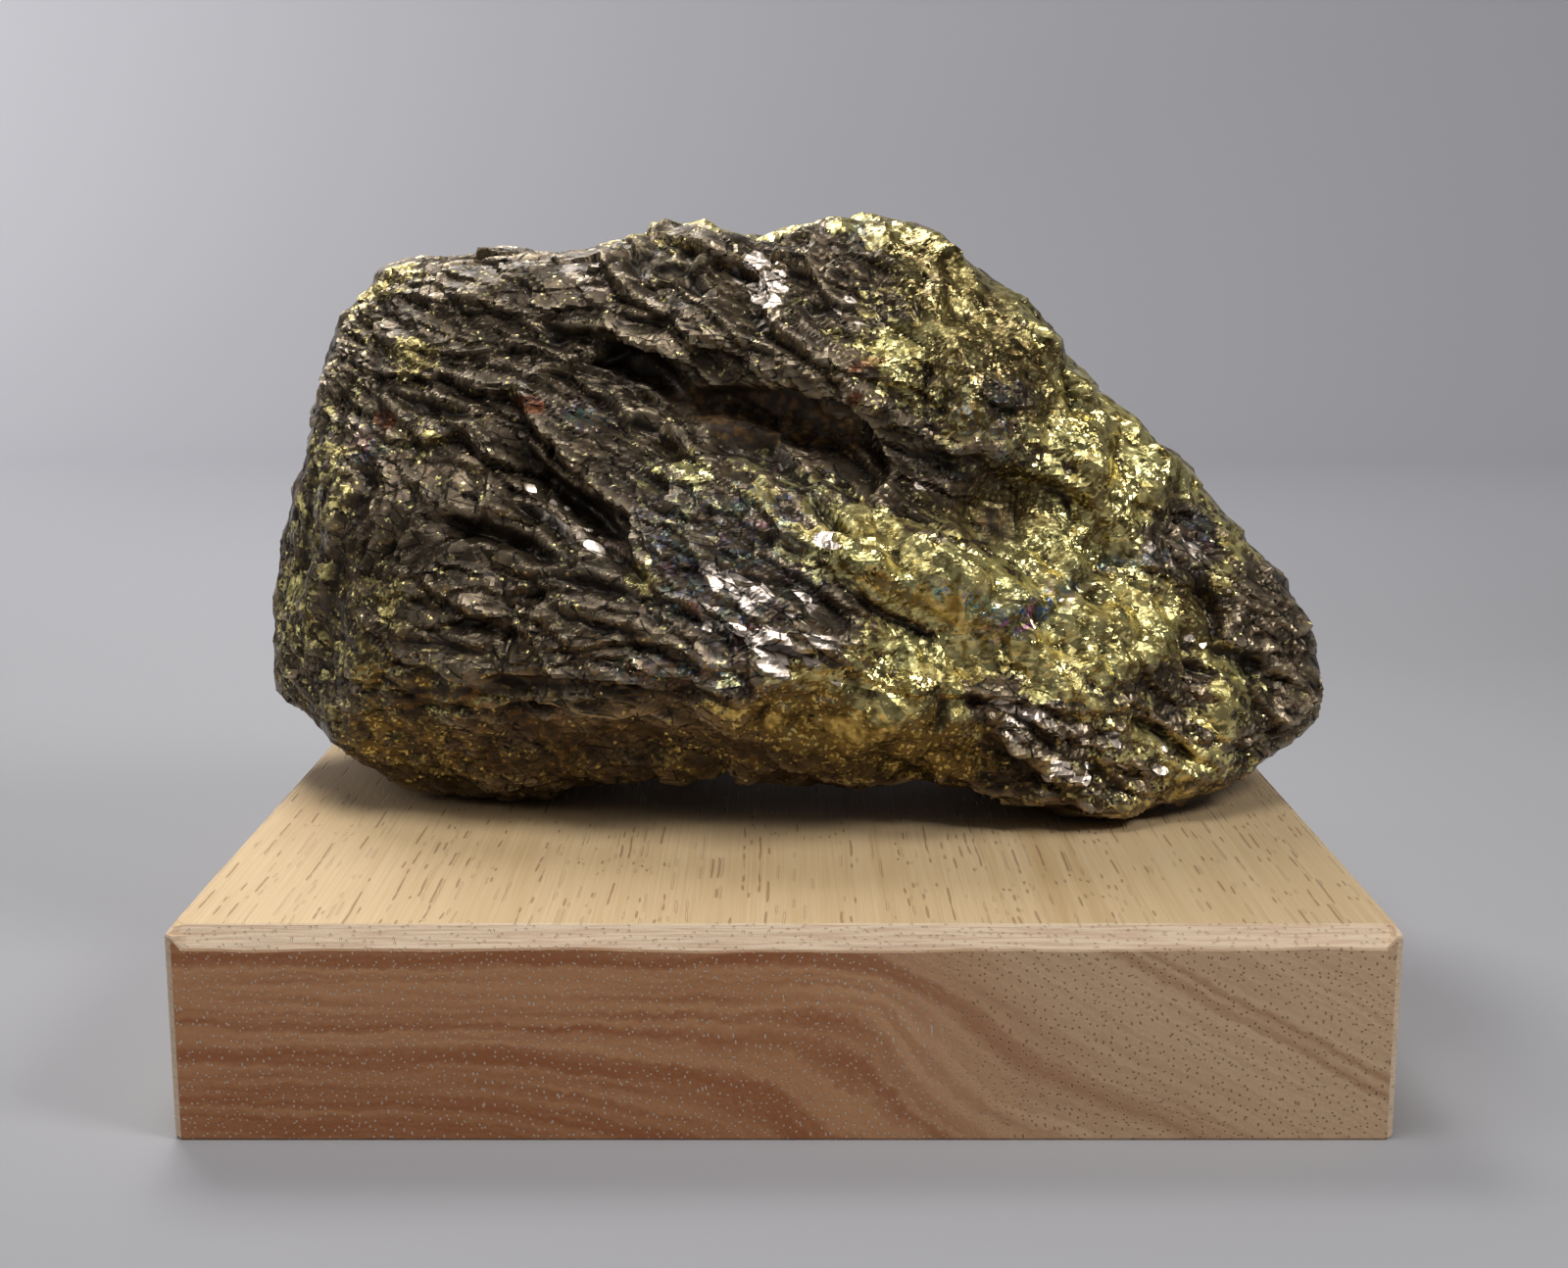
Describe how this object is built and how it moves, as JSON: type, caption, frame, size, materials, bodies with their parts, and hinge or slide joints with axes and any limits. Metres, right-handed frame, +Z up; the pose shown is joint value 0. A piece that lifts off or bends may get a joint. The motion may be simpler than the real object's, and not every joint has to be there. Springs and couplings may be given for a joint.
{
  "type": "pentlandite mineral specimen on a wooden display block",
  "caption": "Massive bronze-brown pentlandite specimen with brassy chalcopyrite, resting on a chamfered square wooden display block.",
  "frame": {"origin": "middle of the block's flat underside, on the surface that it stands on", "axes": "+Z up, +X to the right along the specimen's long way, +Y away from the viewer of the front"},
  "size_m": [0.1629, 0.15, 0.1127],
  "materials": {
    "sulfide_ore": "rough broken sulfide ore with metallic lustre: bronze-brown with brassy yellow areas",
    "block_wood": "sanded bare hardwood, end grain to the front and back"
  },
  "bodies": {
    "root": {"pentlandite_rock": "sulfide_ore", "wooden_block": "block_wood"}
  },
  "joints": []
}
